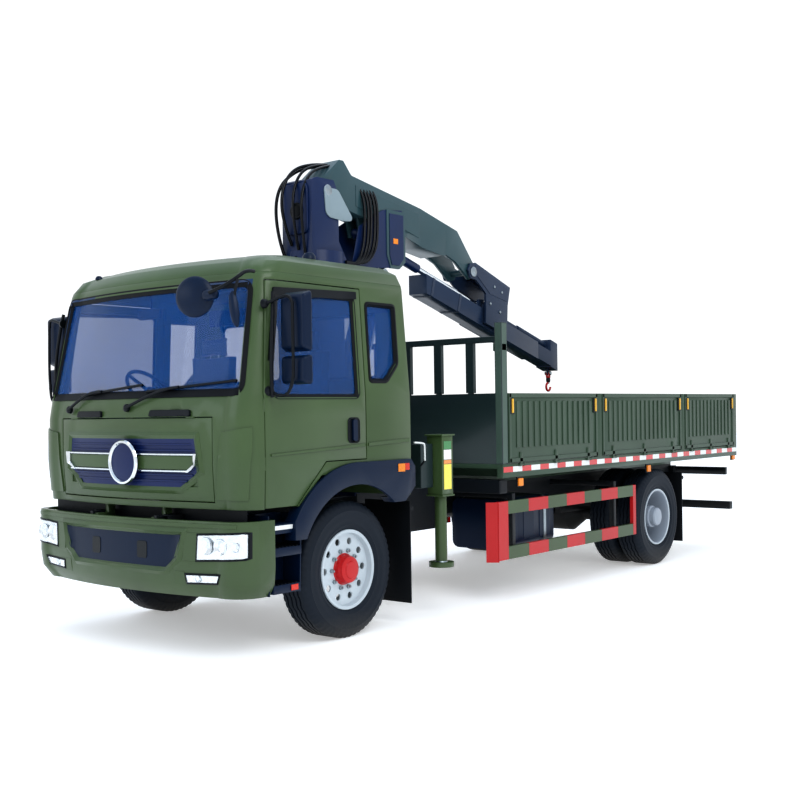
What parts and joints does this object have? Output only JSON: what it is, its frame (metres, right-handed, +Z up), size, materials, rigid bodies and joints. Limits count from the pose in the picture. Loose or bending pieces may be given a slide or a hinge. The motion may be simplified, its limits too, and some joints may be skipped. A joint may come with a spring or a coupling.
{
  "type": "truck crane",
  "caption": "Cab-over cargo lorry with a dropside bed, a folding loader crane behind the tilting cab, stabiliser legs and twin rear wheels.",
  "frame": {"origin": "on the ground, at the middle of the vehicle's overall length and width", "axes": "+X to the vehicle's left, +Y to its tail, +Z up; the cab's front faces -Y"},
  "size_m": [2.96, 8.398, 3.936],
  "materials": {
    "green_paint": "satin",
    "frame_paint": "satin",
    "crane_paint": "satin",
    "polished_rod": "polished",
    "hook_red": "gloss",
    "black_plastic": "matte",
    "window_glass": "clear",
    "lamp_glass": "clear",
    "flap_rubber": "matte",
    "seat_cloth": "woven",
    "tyre_rubber": "matte",
    "wheel_silver": "satin"
  },
  "bodies": {
    "chassis": {"chassis_frame": "frame_paint", "front_axle": "frame_paint", "rear_axle": "frame_paint", "engine_and_shaft": "frame_paint", "fuel_tank": "frame_paint", "battery_and_air_tanks": "frame_paint", "bumper": "green_paint", "front_lamps": "lamp_glass", "steps": "frame_paint", "mudflaps": "flap_rubber", "bed_deck": "green_paint", "headboard": "green_paint", "side_guards": "frame_paint", "rear_bars": "frame_paint", "crane_base": "frame_paint"},
    "cab": {"cab_shell": "green_paint", "cab_roof": "green_paint", "cab_windows": "window_glass", "arch_flares": "black_plastic", "seats": "seat_cloth", "dashboard": "black_plastic", "front_mirrors": "black_plastic"},
    "steering_wheel": {"steering_wheel": "black_plastic"},
    "door_left": {"door_left": "green_paint", "door_glass_left": "window_glass", "mirrors_left": "black_plastic"},
    "door_right": {"door_right": "green_paint", "door_glass_right": "window_glass", "mirrors_right": "black_plastic"},
    "front_flap": {"front_flap": "green_paint"},
    "knuckle_left": {"knuckle_left": "frame_paint"},
    "knuckle_right": {"knuckle_right": "frame_paint"},
    "wheel_front_left": {"tyre_front_left": "tyre_rubber", "rim_front_left": "wheel_silver"},
    "wheel_front_right": {"tyre_front_right": "tyre_rubber", "rim_front_right": "wheel_silver"},
    "wheels_rear_left": {"tyres_rear_left": "tyre_rubber", "rims_rear_left": "wheel_silver"},
    "wheels_rear_right": {"tyres_rear_right": "tyre_rubber", "rims_rear_right": "wheel_silver"},
    "gate_left_front": {"gate_left_front": "green_paint"},
    "gate_left_middle": {"gate_left_middle": "green_paint"},
    "gate_left_rear": {"gate_left_rear": "green_paint"},
    "gate_right_front": {"gate_right_front": "green_paint"},
    "gate_right_middle": {"gate_right_middle": "green_paint"},
    "gate_right_rear": {"gate_right_rear": "green_paint"},
    "tailgate": {"tailgate": "green_paint"},
    "stabiliser_beam_left": {"stabiliser_beam_left": "green_paint"},
    "stabiliser_beam_right": {"stabiliser_beam_right": "green_paint"},
    "stabiliser_leg_left": {"stabiliser_leg_left": "green_paint"},
    "stabiliser_leg_right": {"stabiliser_leg_right": "green_paint"},
    "crane_column": {"crane_column": "crane_paint"},
    "inner_boom": {"inner_boom": "crane_paint"},
    "outer_boom": {"outer_boom": "crane_paint"},
    "boom_extension": {"boom_extension": "crane_paint"},
    "hook": {"hook": "hook_red"},
    "lift_barrels": {"lift_barrels": "crane_paint"},
    "lift_rods": {"lift_rods": "polished_rod"},
    "fold_barrel": {"fold_barrel": "crane_paint"},
    "fold_rod": {"fold_rod": "polished_rod"}
  },
  "joints": [
    {"name": "cab_tilt", "type": "hinge", "parent": "chassis", "child": "cab", "pos_m": [0, -4.1, 0.932], "axis": [1, 0, 0], "range_deg": [0, 45]},
    {"name": "door_left_swing", "type": "hinge", "parent": "cab", "child": "door_left", "pos_m": [1.192, -3.848, 1.8], "axis": [0, 0, -1], "range_deg": [0, 70]},
    {"name": "door_right_swing", "type": "hinge", "parent": "cab", "child": "door_right", "pos_m": [-1.192, -3.848, 1.8], "axis": [0, 0, 1], "range_deg": [0, 70]},
    {"name": "front_flap_swing", "type": "hinge", "parent": "cab", "child": "front_flap", "pos_m": [0, -4.108, 1.672], "axis": [-1, 0, 0], "range_deg": [0, 75]},
    {"name": "steer_left", "type": "hinge", "parent": "chassis", "child": "knuckle_left", "pos_m": [0.83, -2.9, 0.512], "axis": [0, 0, 1], "range_deg": [-35, 35]},
    {"name": "steer_right", "type": "hinge", "parent": "chassis", "child": "knuckle_right", "pos_m": [-0.83, -2.9, 0.512], "axis": [0, 0, 1], "range_deg": [-35, 35]},
    {"name": "steering_wheel_turn", "type": "hinge", "parent": "cab", "child": "steering_wheel", "pos_m": [-0.52, -3.44, 1.855], "axis": [0, 0.7419, 0.6705], "range_deg": [-560, 560]},
    {"name": "wheel_front_left_roll", "type": "hinge", "parent": "knuckle_left", "child": "wheel_front_left", "pos_m": [0.982, -2.9, 0.512], "axis": [1, 0, 0], "continuous": true},
    {"name": "wheel_front_right_roll", "type": "hinge", "parent": "knuckle_right", "child": "wheel_front_right", "pos_m": [-0.982, -2.9, 0.512], "axis": [1, 0, 0], "continuous": true},
    {"name": "wheels_rear_left_roll", "type": "hinge", "parent": "chassis", "child": "wheels_rear_left", "pos_m": [0.918, 2.1, 0.512], "axis": [1, 0, 0], "continuous": true},
    {"name": "wheels_rear_right_roll", "type": "hinge", "parent": "chassis", "child": "wheels_rear_right", "pos_m": [-0.918, 2.1, 0.512], "axis": [1, 0, 0], "continuous": true},
    {"name": "gate_left_front_drop", "type": "hinge", "parent": "chassis", "child": "gate_left_front", "pos_m": [1.252, -0.0995, 1.203], "axis": [0, 1, 0], "range_deg": [0, 175]},
    {"name": "gate_left_middle_drop", "type": "hinge", "parent": "chassis", "child": "gate_left_middle", "pos_m": [1.252, 1.705, 1.203], "axis": [0, 1, 0], "range_deg": [0, 175]},
    {"name": "gate_left_rear_drop", "type": "hinge", "parent": "chassis", "child": "gate_left_rear", "pos_m": [1.252, 3.393, 1.203], "axis": [0, 1, 0], "range_deg": [0, 175]},
    {"name": "gate_right_front_drop", "type": "hinge", "parent": "chassis", "child": "gate_right_front", "pos_m": [-1.252, -0.0995, 1.203], "axis": [0, -1, 0], "range_deg": [0, 175]},
    {"name": "gate_right_middle_drop", "type": "hinge", "parent": "chassis", "child": "gate_right_middle", "pos_m": [-1.252, 1.705, 1.203], "axis": [0, -1, 0], "range_deg": [0, 175]},
    {"name": "gate_right_rear_drop", "type": "hinge", "parent": "chassis", "child": "gate_right_rear", "pos_m": [-1.252, 3.393, 1.203], "axis": [0, -1, 0], "range_deg": [0, 175]},
    {"name": "tailgate_drop", "type": "hinge", "parent": "chassis", "child": "tailgate", "pos_m": [0, 4.183, 1.203], "axis": [-1, 0, 0], "range_deg": [0, 175]},
    {"name": "stabiliser_out_left", "type": "slide", "parent": "chassis", "child": "stabiliser_beam_left", "axis": [1, 0, 0], "range_m": [0, 0.75]},
    {"name": "stabiliser_down_left", "type": "slide", "parent": "stabiliser_beam_left", "child": "stabiliser_leg_left", "axis": [0, 0, -1], "range_m": [0, 0.395]},
    {"name": "stabiliser_out_right", "type": "slide", "parent": "chassis", "child": "stabiliser_beam_right", "axis": [-1, 0, 0], "range_m": [0, 0.75]},
    {"name": "stabiliser_down_right", "type": "slide", "parent": "stabiliser_beam_right", "child": "stabiliser_leg_right", "axis": [0, 0, -1], "range_m": [0, 0.395]},
    {"name": "crane_slew", "type": "hinge", "parent": "chassis", "child": "crane_column", "pos_m": [-0.15, -1.84, 1.5], "axis": [0, 0, 1], "range_deg": [-100, 100]},
    {"name": "boom_lift", "type": "hinge", "parent": "crane_column", "child": "inner_boom", "pos_m": [-0.15, -1.86, 3.63], "axis": [1, 0, 0], "range_deg": [0, 55]},
    {"name": "boom_fold", "type": "hinge", "parent": "inner_boom", "child": "outer_boom", "pos_m": [-0.15, 0.379, 3.107], "axis": [1, 0, 0], "range_deg": [0, 25]},
    {"name": "boom_slide", "type": "slide", "parent": "outer_boom", "child": "boom_extension", "axis": [0, 0.9618, -0.2737], "range_m": [0, 0.5]},
    {"name": "hook_swing", "type": "hinge", "parent": "boom_extension", "child": "hook", "pos_m": [-0.15, 2.12, 2.1], "axis": [1, 0, 0], "range_deg": [-90, 60]},
    {"name": "lift_barrels_swing", "type": "hinge", "parent": "crane_column", "child": "lift_barrels", "pos_m": [-0.15, -1.5, 1.75], "axis": [1, 0, 0], "range_deg": [-2, 14]},
    {"name": "lift_rods_slide", "type": "slide", "parent": "lift_barrels", "child": "lift_rods", "axis": [0, 0.3621, 0.9322], "range_m": [-0.02, 0.93]},
    {"name": "fold_barrel_swing", "type": "hinge", "parent": "inner_boom", "child": "fold_barrel", "pos_m": [-0.15, -1.25, 3.345], "axis": [1, 0, 0], "range_deg": [-2, 8]},
    {"name": "fold_rod_slide", "type": "slide", "parent": "fold_barrel", "child": "fold_rod", "axis": [0, 0.9619, -0.2733], "range_m": [-0.02, 0.09]}
  ],
  "couplings": [
    {"joint": "steer_right", "follows": "steer_left", "ratio": 1},
    {"joint": "steering_wheel_turn", "follows": "steer_left", "ratio": 16},
    {"joint": "lift_barrels_swing", "follows": "boom_lift", "ratio": 0.1709},
    {"joint": "lift_rods_slide", "follows": "boom_lift", "m_per_rad": 0.92901},
    {"joint": "fold_barrel_swing", "follows": "boom_fold", "ratio": 0.19113},
    {"joint": "fold_rod_slide", "follows": "boom_fold", "m_per_rad": 0.16023}
  ]
}
